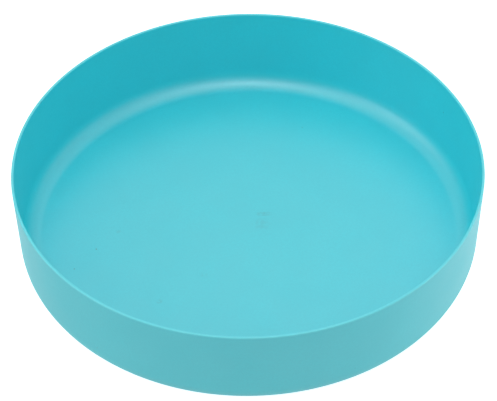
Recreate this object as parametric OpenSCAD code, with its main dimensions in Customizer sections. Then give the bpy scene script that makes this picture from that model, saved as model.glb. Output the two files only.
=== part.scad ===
// Round mud pan: a shallow open tray moulded in one piece.
// Its wall leans out a little, its rim is thin and soft-edged, and a wide curve joins wall and floor.
// Millimetres. +Z is up. The origin is on the axis, in the plane that the pan stands on.

/* [Size] */
// Outside diameter across the rim
rim_d = 300; // [200:1:420]
// Height from the standing plane to the top of the rim
height = 62; // [45:1:120]
// Lean of the wall from upright, in degrees
draft = 1.75; // [0.5:0.25:8]

/* [Thickness] */
// Thickness of the wall
wall_t = 1.7; // [1.5:0.1:4]
// Thickness of the floor
floor_t = 1.8; // [1.2:0.1:4]

/* [Edges] */
// Radius of the bottom edge, outside
outside_r = 13.5; // [8:0.5:18]
// Radius of the two edges of the rim
rim_r = 0.6; // [0.2:0.1:0.7]

/* [Underside] */
// Width of the flat ring that the pan stands on
ring_w = 4; // [2:0.5:20]
// Height of the floor's underside above the standing plane
recess_h = 0.6; // [0.4:0.1:2]
// Diameter of the dimple around the moulding gate
dimple_d = 14; // [8:1:30]
// Depth of that dimple
dimple_h = 0.4; // [0.2:0.1:0.6]
// Diameter of the gate's stub
gate_d = 3; // [1.5:0.5:5]
// Height of the gate's stub
gate_h = 0.5; // [0.2:0.1:0.6]

/* [Hidden] */
$fn = 240;
// Height of the floor's inside face
floor_z = recess_h + floor_t;
// Radius of the curve between wall and floor, inside, which keeps the wall's thickness round the edge
inside_r = outside_r - wall_t;
// Height of the centres of the rim's two edge circles
rim_z = height - rim_r;
// Unit normal of the wall's outside face, as [radius, height]
normal = [cos(draft), -sin(draft)];
// How far a cutting shape runs past the solid
past = 1;

// Radius, at height z, of a line that runs parallel to the wall's outside face and inset from it
function wall_x(inset, z) =
    rim_d / 2 - rim_r + (rim_r - inset + (z - rim_z) * sin(draft)) / cos(draft);

// Centre of a circle of radius r, resting on height z, that touches the line at the given inset
function corner_centre(inset, r, z) = [wall_x(inset + r, z + r), z + r];

bottom_c = corner_centre(0, outside_r, 0);
inside_c = corner_centre(wall_t, inside_r, floor_z);
rim_out_c = [wall_x(rim_r, rim_z), rim_z];
rim_in_c = [wall_x(wall_t - rim_r, rim_z), rim_z];
// Outer and inner radius of the standing ring
ring_out = bottom_c.x;
ring_in = ring_out - ring_w;

module disc(centre, r) {
    translate(centre) circle(r);
}

// Half section of the outside, filled to the axis
module outside_section() {
    polygon([
        [0, 0],
        [bottom_c.x, 0],
        bottom_c + outside_r * normal,
        rim_out_c + rim_r * normal,
        [rim_out_c.x, height],
        [0, height]
    ]);
    disc(bottom_c, outside_r);
    disc(rim_out_c, rim_r);
}

// Half section of the space inside, with the rim's inner edge left on the wall
module inside_section() {
    difference() {
        union() {
            polygon([
                [0, floor_z],
                [inside_c.x, floor_z],
                inside_c + inside_r * normal,
                rim_in_c - rim_r * normal,
                [rim_in_c.x, height],
                [rim_in_c.x, height + past],
                [0, height + past]
            ]);
            disc(inside_c, inside_r);
        }
        disc(rim_in_c, rim_r);
    }
}

// Half section of the shallow space under the floor
module underside_section() {
    difference() {
        union() {
            polygon([
                [0, -past],
                [ring_in, -past],
                [ring_in, 0],
                [ring_in - recess_h, recess_h],
                [0, recess_h]
            ]);
            square([dimple_d / 2, recess_h + dimple_h]);
        }
        translate([0, recess_h + dimple_h - gate_h]) square([gate_d / 2, gate_h + past]);
    }
}

module pan() {
    color([0.33, 0.78, 0.84])
    rotate_extrude()
    difference() {
        outside_section();
        inside_section();
        underside_section();
    }
}

pan();
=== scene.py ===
"""Looks of a round mud pan, moulded in one piece from turquoise polypropylene.

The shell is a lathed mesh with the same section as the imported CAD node, and stands for it.
Lengths are in metres, in the CAD model's frame: +Z up, the origin on the axis in the standing plane.
"""
import math

import bmesh
import bpy
from mathutils import Matrix, Vector


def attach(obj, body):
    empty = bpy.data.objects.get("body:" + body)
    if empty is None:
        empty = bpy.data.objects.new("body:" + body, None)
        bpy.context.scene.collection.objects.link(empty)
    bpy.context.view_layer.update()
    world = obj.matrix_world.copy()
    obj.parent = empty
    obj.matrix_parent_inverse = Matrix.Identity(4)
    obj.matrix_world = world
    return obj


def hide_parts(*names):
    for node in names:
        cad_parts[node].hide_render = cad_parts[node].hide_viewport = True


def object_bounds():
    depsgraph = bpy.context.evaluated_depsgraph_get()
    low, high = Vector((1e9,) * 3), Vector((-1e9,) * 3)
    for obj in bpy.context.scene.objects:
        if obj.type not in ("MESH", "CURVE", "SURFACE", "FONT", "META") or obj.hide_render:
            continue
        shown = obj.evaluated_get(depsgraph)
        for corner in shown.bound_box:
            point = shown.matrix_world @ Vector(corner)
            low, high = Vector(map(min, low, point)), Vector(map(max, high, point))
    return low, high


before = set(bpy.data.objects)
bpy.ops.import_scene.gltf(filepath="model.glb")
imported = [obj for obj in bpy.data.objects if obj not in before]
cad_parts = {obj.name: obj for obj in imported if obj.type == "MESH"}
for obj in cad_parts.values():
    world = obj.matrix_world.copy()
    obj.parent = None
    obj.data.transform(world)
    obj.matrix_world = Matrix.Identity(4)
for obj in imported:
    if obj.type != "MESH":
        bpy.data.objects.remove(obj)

CAD_LOW, CAD_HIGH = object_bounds()

# ---- Driving dimensions -------------------------------------------------------------------------
MM = 0.001
RIM_RADIUS = CAD_HIGH.x
HEIGHT = CAD_HIGH.z
DRAFT = math.radians(1.75)
WALL_T = 1.7 * MM
FLOOR_T = 1.8 * MM
OUTSIDE_R = 13.5 * MM
INSIDE_R = OUTSIDE_R - WALL_T
RIM_R = 0.6 * MM
RING_W = 4.0 * MM
RECESS_H = 0.6 * MM
DIMPLE_RADIUS = 7.0 * MM
DIMPLE_H = 0.4 * MM
GATE_RADIUS = 1.5 * MM
GATE_H = 0.5 * MM
FLOOR_Z = RECESS_H + FLOOR_T

# ---- Colours ------------------------------------------------------------------------------------
TURQUOISE = (0.0, 0.675, 0.78, 1.0)
TURQUOISE_LIGHT = (0.0, 0.695, 0.80, 1.0)
TURQUOISE_DEEP = (0.0, 0.64, 0.75, 1.0)
# painted highlight: paler turquoise near the top edge, where the light catches it
PAINTED_RIM_HIGHLIGHT = (0.10, 0.85, 0.95, 1.0)
WORN = (0.20, 0.72, 0.78, 1.0)
SCUFF = (0.0, 0.45, 0.52, 1.0)
SPECK = (0.01, 0.30, 0.34, 1.0)
FLECK = (0.45, 0.85, 0.90, 1.0)
WHITE = (1.0, 1.0, 1.0, 1.0)
FLOOR_GREY = (0.8, 0.8, 0.8, 1.0)

# ---- Surface of the plastic ---------------------------------------------------------------------
FLOW_SIZE = 38.0 * MM           # patches of lighter colour, where the melt flowed
GRAIN_SIZE = 1.4 * MM           # fine grain of deeper colour
BREAK_SIZE = 2.5 * MM           # gaps in the marks on the floor
GLOSS_SIZE = 22.0 * MM          # patches that are rougher or smoother
SATIN_SIZE = 0.9 * MM           # fine texture that scatters the light
SATIN_DEPTH = 0.012 * MM
WAVE_SIZE = 30.0 * MM           # slight waves of a thin moulding
WAVE_DEPTH = 0.03 * MM
ROUGHNESS = (0.43, 0.47)        # lowest and highest
PAINTED_HIGHLIGHT_BAND = (1.6 * MM, 0.2 * MM)     # below the top: where the painted highlight starts, and where it is palest
RING_BAND = 0.35 * MM           # height up to which the standing ring is worn
RING_ROUGHNESS = 0.3            # extra roughness of a fully worn place
# Spacing and radius of the dots, and how far (m) their pattern is moved from the origin
DARK_DOTS = (24.0 * MM, 0.576 * MM, 3.7)
PALE_DOTS = (45.0 * MM, 0.63 * MM, 8.2)

# ---- Marks on the pan's floor -------------------------------------------------------------------
# Middle and half sizes, both in mm, and strength
SCUFFS = [
    ((10.5, 13.5, 2.4), (8.0, 2.6, 3.0), 0.7),     # short dark mark near the middle
    ((8.5, 4.0, 2.4), (8.0, 7.5, 3.0), 0.28),      # faint smudge beside it
    ((-57.0, -64.3, 2.4), (2.6, 2.6, 3.0), 0.55),  # small dark spot, front left
    ((-29.0, -41.7, 2.4), (3.5, 3.5, 3.0), 0.2),   # fainter spot between that and the middle
    ((-85.5, -1.1, 2.4), (2.6, 2.6, 3.0), 0.3),    # fainter spot at the left
]

# ---- Mesh fineness ------------------------------------------------------------------------------
SEGMENTS = 360                  # steps round the axis
ARC_STEP = math.radians(6.0)    # turn of the section's outline from one point to the next
LONGEST_STEP = 4.0 * MM         # longest straight step of the outline
SHORTEST_STEP = 0.01 * MM       # points closer than this are one point

# ---- Studio light -------------------------------------------------------------------------------
ROOM_LIGHT = 0.55               # strength of the light from above the horizon
GROUND_LIGHT = 0.70             # and from below it
# Soft patches of the studio: azimuth, elevation and spread in degrees, and change of strength
SOFT_PATCHES = [
    (-12, 14, 52, -0.49),       # the dark side, behind the camera
    (-77, 21, 32, 1.19),        # softbox on the left
    (101, -10, 44, 0.80),       # low reflector on the right
    (-3, 64, 50, 0.55),         # large softbox overhead
    (0, 59, 9, 8.0),            # small key light above the camera
    (175, 64, 29, 0.75),        # softbox high behind the pan
    (180, -35, 50, 0.60),       # brighter ground behind the pan
]

# ---- Camera and stage ---------------------------------------------------------------------------
LENS = 145.0                    # focal length, mm
SENSOR = 36.0                   # width of the sensor, mm
ELEVATION = math.radians(44.07)     # above the horizon
DISTANCE = 8.617                # from the pan's middle, in rim radii
ROLL = math.radians(-0.776)
AIM_OFFSET = (0.16 * MM, 2.18 * MM)     # aim point, right of and below the pan's middle
STAGE_HALF = 12.0               # half the width of the studio's floor
STAGE_DROP = 0.1 * MM           # gap between that floor and the pan


# ---- Section ------------------------------------------------------------------------------------
def wall_x(inset, z):
    """Radius at height z of a line parallel to the wall's outside face and inset from it."""
    rim_z = HEIGHT - RIM_R
    run = RIM_R - inset + (z - rim_z) * math.sin(DRAFT)
    return RIM_RADIUS - RIM_R + run / math.cos(DRAFT)


def sharp_corners():
    """The half section's corners as (radius, height, rounding), from the underside's middle to the top's."""
    dimple_z = RECESS_H + DIMPLE_H
    gate_z = dimple_z - GATE_H
    ring_out = wall_x(OUTSIDE_R, OUTSIDE_R)
    ring_in = ring_out - RING_W
    return [
        (0.0, gate_z, 0.0),
        (GATE_RADIUS, gate_z, 0.2 * MM),
        (GATE_RADIUS, dimple_z, 0.15 * MM),
        (DIMPLE_RADIUS, dimple_z, 0.15 * MM),
        (DIMPLE_RADIUS, RECESS_H, 0.2 * MM),
        (ring_in - RECESS_H, RECESS_H, 0.6 * MM),
        (ring_in, 0.0, 0.3 * MM),
        (wall_x(0.0, 0.0), 0.0, OUTSIDE_R),
        (wall_x(0.0, HEIGHT), HEIGHT, RIM_R),
        (wall_x(WALL_T, HEIGHT), HEIGHT, RIM_R),
        (wall_x(WALL_T, FLOOR_Z), FLOOR_Z, INSIDE_R),
        (0.0, FLOOR_Z, 0.0),
    ]


def rounded(before, corner, after, radius):
    """Points of the arc that rounds a corner of the outline."""
    to_before = (before - corner).normalized()
    to_after = (after - corner).normalized()
    half_angle = to_before.angle(to_after) / 2
    start = corner + to_before * radius / math.tan(half_angle)
    centre = corner + (to_before + to_after).normalized() * radius / math.sin(half_angle)
    turn = (after - corner).angle_signed(before - corner)
    sweep = math.copysign(math.pi - 2 * half_angle, turn)
    steps = max(3, math.ceil(abs(sweep) / ARC_STEP))
    arm = start - centre
    return [centre + Matrix.Rotation(-sweep * i / steps, 2) @ arm for i in range(steps + 1)]


def outline():
    """The whole half section as 2D points, with rounded corners and no long straight step."""
    corners = sharp_corners()
    flat = [Vector((r, z)) for r, z, _ in corners]
    points = [flat[0]]
    for i in range(1, len(flat) - 1):
        points += rounded(flat[i - 1], flat[i], flat[i + 1], corners[i][2])
    points.append(flat[-1])
    fine = [points[0]]
    for a, b in zip(points, points[1:]):
        if (b - a).length < SHORTEST_STEP:
            continue
        steps = max(1, math.ceil((b - a).length / LONGEST_STEP))
        fine += [a.lerp(b, k / steps) for k in range(1, steps + 1)]
    return fine


# ---- Mesh ---------------------------------------------------------------------------------------
def lathe(name, points):
    """A closed mesh of revolution. The first and last points are on the axis."""
    mesh = bmesh.new()
    bottom = mesh.verts.new((0, 0, points[0].y))
    top = mesh.verts.new((0, 0, points[-1].y))
    rings = []
    for p in points[1:-1]:
        ring = []
        for s in range(SEGMENTS):
            angle = 2 * math.pi * s / SEGMENTS
            ring.append(mesh.verts.new((p.x * math.cos(angle), p.x * math.sin(angle), p.y)))
        rings.append(ring)
    for s in range(SEGMENTS):
        t = (s + 1) % SEGMENTS
        mesh.faces.new((bottom, rings[0][t], rings[0][s]))
        mesh.faces.new((top, rings[-1][s], rings[-1][t]))
        for low, high in zip(rings, rings[1:]):
            mesh.faces.new((low[s], low[t], high[t], high[s]))
    for face in mesh.faces:
        face.smooth = True
    data = bpy.data.meshes.new(name)
    mesh.to_mesh(data)
    mesh.free()
    piece = bpy.data.objects.new(name, data)
    bpy.context.collection.objects.link(piece)
    return piece


# ---- Nodes --------------------------------------------------------------------------------------
def feed(tree, socket, value):
    """Links a socket to another node's output, or sets it to a number, a vector or a colour."""
    if isinstance(value, bpy.types.NodeSocket):
        tree.links.new(value, socket)
    else:
        socket.default_value = value


def add_node(tree, kind, **inputs):
    """A node with its named inputs fed."""
    node = tree.nodes.new(kind)
    for name, value in inputs.items():
        feed(tree, node.inputs[name], value)
    return node


def maths(tree, operation, first, second):
    """Output of a Math node on two outputs or numbers."""
    node = tree.nodes.new("ShaderNodeMath")
    node.operation = operation
    feed(tree, node.inputs[0], first)
    feed(tree, node.inputs[1], second)
    return node.outputs["Value"]


def vector_maths(tree, operation, first, second=None):
    """Output of a Vector Math node: a number for a length or a dot product, and a vector otherwise."""
    node = tree.nodes.new("ShaderNodeVectorMath")
    node.operation = operation
    feed(tree, node.inputs[0], first)
    if second is not None:
        feed(tree, node.inputs[1], second)
    return node.outputs["Value" if operation in ("LENGTH", "DOT_PRODUCT") else "Vector"]


def map_range(tree, value, source, target):
    """Maps a value smoothly from one range to another, and holds it at both ends."""
    node = add_node(tree, "ShaderNodeMapRange", Value=value)
    node.interpolation_type = "SMOOTHSTEP"
    node.inputs["From Min"].default_value, node.inputs["From Max"].default_value = source
    node.inputs["To Min"].default_value, node.inputs["To Max"].default_value = target
    return node.outputs["Result"]


def mix(tree, amount, first, second):
    """Output of a colour Mix node on two outputs or colours."""
    node = tree.nodes.new("ShaderNodeMix")
    node.data_type = "RGBA"
    feed(tree, node.inputs["Factor"], amount)
    colours = [socket for socket in node.inputs if socket.type == "RGBA"]
    feed(tree, colours[0], first)
    feed(tree, colours[1], second)
    return [socket for socket in node.outputs if socket.type == "RGBA"][0]


def noise(tree, place, size, detail):
    """Cloudy values round 0.5, in patches about as wide as the given size."""
    node = add_node(tree, "ShaderNodeTexNoise", Vector=place, Scale=1 / size, Detail=detail)
    return node.outputs["Fac"]


def spot(tree, place, centre, size):
    """1 in the middle of an ellipsoid of the given half sizes (mm), falling to 0 at its edge."""
    offset = vector_maths(tree, "SUBTRACT", place, Vector(centre) * MM)
    scaled = vector_maths(tree, "DIVIDE", offset, Vector(size) * MM)
    return map_range(tree, vector_maths(tree, "LENGTH", scaled), (1.0, 0.2), (0.0, 1.0))


def dots(tree, place, spacing, radius, shift):
    """1 inside small dots, one in each cell of a random pattern, and 0 outside them."""
    moved = vector_maths(tree, "ADD", place, (shift, shift, shift))
    cells = add_node(tree, "ShaderNodeTexVoronoi", Vector=moved, Scale=1 / spacing)
    edge = radius / spacing
    return map_range(tree, cells.outputs["Distance"], (edge, 0.6 * edge), (0.0, 1.0))


# ---- Materials ----------------------------------------------------------------------------------
def new_material(name):
    """A node material, its tree and its Principled shader."""
    material = bpy.data.materials.new(name)
    material.use_nodes = True
    return material, material.node_tree, material.node_tree.nodes["Principled BSDF"]


def plastic_colour(tree, place, rim_highlight_mask, ring):
    """Turquoise with flow and grain, a painted highlight along the top edge, a worn ring, marks on the floor
    and small dots.
    """
    flow = map_range(tree, noise(tree, place, FLOW_SIZE, 2), (0.35, 0.65), (0.0, 1.0))
    grain = map_range(tree, noise(tree, place, GRAIN_SIZE, 2), (0.3, 0.7), (0.0, 0.5))
    colour = mix(tree, flow, TURQUOISE, TURQUOISE_LIGHT)
    colour = mix(tree, grain, colour, TURQUOISE_DEEP)
    # painted highlight: paler towards the top edge
    colour = mix(tree, rim_highlight_mask, colour, PAINTED_RIM_HIGHLIGHT)
    colour = mix(tree, ring, colour, WORN)
    breaks = map_range(tree, noise(tree, place, BREAK_SIZE, 3), (0.35, 0.6), (0.0, 1.0))
    for centre, size, amount in SCUFFS:
        scuff = maths(tree, "MULTIPLY", spot(tree, place, centre, size), breaks)
        colour = mix(tree, maths(tree, "MULTIPLY", scuff, amount), colour, SCUFF)
    colour = mix(tree, dots(tree, place, *DARK_DOTS), colour, SPECK)
    return mix(tree, dots(tree, place, *PALE_DOTS), colour, FLECK)


def bumps(tree, place):
    """Normal of a surface with a fine satin texture and slow waves."""
    texture = noise(tree, place, SATIN_SIZE, 3)
    waves = noise(tree, place, WAVE_SIZE, 1)
    fine = add_node(tree, "ShaderNodeBump", Strength=1.0, Distance=SATIN_DEPTH, Height=texture)
    both = add_node(tree, "ShaderNodeBump", Strength=1.0, Distance=WAVE_DEPTH, Height=waves,
                    Normal=fine.outputs["Normal"])
    return both.outputs["Normal"]


def pan_plastic():
    """Satin turquoise polypropylene, with the marks of moulding and a little use."""
    material, tree, shader = new_material("pan_plastic")
    place = add_node(tree, "ShaderNodeTexCoord").outputs["Object"]
    height = add_node(tree, "ShaderNodeSeparateXYZ", Vector=place).outputs["Z"]
    # painted highlight: a mask that grows towards the top edge
    rim_highlight_mask = map_range(tree, height, (HEIGHT - PAINTED_HIGHLIGHT_BAND[0], HEIGHT - PAINTED_HIGHLIGHT_BAND[1]), (0.0, 0.5))
    ring = map_range(tree, height, (RING_BAND, 0.0), (0.0, 0.5))
    wear = maths(tree, "MULTIPLY", ring, RING_ROUGHNESS)
    roughness = map_range(tree, noise(tree, place, GLOSS_SIZE, 3), (0.3, 0.7), ROUGHNESS)
    feed(tree, shader.inputs["Base Color"], plastic_colour(tree, place, rim_highlight_mask, ring))
    feed(tree, shader.inputs["Roughness"], maths(tree, "ADD", roughness, wear))
    feed(tree, shader.inputs["Normal"], bumps(tree, place))
    shader.inputs["IOR"].default_value = 1.8
    shader.inputs["Specular IOR Level"].default_value = 1.0
    return material


def floor_white():
    """White that also glows, so that the camera sees it as pure white."""
    material, _, shader = new_material("floor_white")
    shader.inputs["Base Color"].default_value = FLOOR_GREY
    shader.inputs["Roughness"].default_value = 0.9
    shader.inputs["Specular IOR Level"].default_value = 0.0
    shader.inputs["Emission Color"].default_value = WHITE
    shader.inputs["Emission Strength"].default_value = 0.8
    return material


# ---- Stage --------------------------------------------------------------------------------------
def add_floor():
    """The studio's white floor. Only the camera sees it: the light from below is the world's."""
    data = bpy.data.meshes.new("floor")
    half = STAGE_HALF
    corners = [(-half, -half, 0), (half, -half, 0), (half, half, 0), (-half, half, 0)]
    data.from_pydata(corners, [], [(0, 1, 2, 3)])
    floor = bpy.data.objects.new("floor", data)
    floor.location.z = -STAGE_DROP
    bpy.context.collection.objects.link(floor)
    data.materials.append(floor_white())
    floor.visible_diffuse = False
    floor.visible_glossy = False
    floor.visible_shadow = False


def direction(azimuth, elevation):
    """Unit vector towards a place in the studio. Azimuth 0 is the camera's side, and 90 is the right."""
    a, e = math.radians(azimuth), math.radians(elevation)
    return Vector((math.sin(a) * math.cos(e), -math.cos(a) * math.cos(e), math.sin(e)))


def light_scene():
    """A grey studio all round the pan, with soft bright and dark patches in it."""
    world = bpy.data.worlds.new("studio")
    world.use_nodes = True
    tree = world.node_tree
    place = add_node(tree, "ShaderNodeTexCoord").outputs["Generated"]
    height = add_node(tree, "ShaderNodeSeparateXYZ", Vector=place).outputs["Z"]
    light = map_range(tree, height, (-0.08, 0.08), (GROUND_LIGHT, ROOM_LIGHT))
    for azimuth, elevation, spread, change in SOFT_PATCHES:
        nearness = vector_maths(tree, "DOT_PRODUCT", place, direction(azimuth, elevation))
        edge = math.cos(math.radians(spread))
        patch = map_range(tree, nearness, (edge, 1.0), (0.0, change))
        light = maths(tree, "ADD", light, patch)
    background = tree.nodes["Background"]
    background.inputs["Color"].default_value = WHITE
    feed(tree, background.inputs["Strength"], light)
    bpy.context.scene.world = world


# ---- Camera -------------------------------------------------------------------------------------
def add_camera():
    """The photo's view: the pan seen from -Y and above."""
    data = bpy.data.cameras.new("camera")
    data.lens = LENS
    data.sensor_width = SENSOR
    data.clip_start = 0.05
    data.clip_end = 60.0
    camera = bpy.data.objects.new("camera", data)
    middle = Vector((0, 0, HEIGHT / 2))
    back = Vector((0, -math.cos(ELEVATION), math.sin(ELEVATION)))
    camera.location = middle + back * DISTANCE * RIM_RADIUS
    right = Vector((1, 0, 0))
    up = back.cross(right)
    aim = middle + right * AIM_OFFSET[0] - up * AIM_OFFSET[1]
    turn = (camera.location - aim).to_track_quat("Z", "Y")
    camera.rotation_mode = "QUATERNION"
    camera.rotation_quaternion = turn @ Matrix.Rotation(ROLL, 3, "Z").to_quaternion()
    bpy.context.collection.objects.link(camera)
    bpy.context.scene.camera = camera


# ---- Scene --------------------------------------------------------------------------------------
add_camera()
light_scene()
add_floor()

pan = lathe("pan_shell", outline())
pan.data.materials.append(pan_plastic())
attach(pan, "root")
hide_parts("pan")

bpy.context.scene.view_settings.view_transform = "Standard"
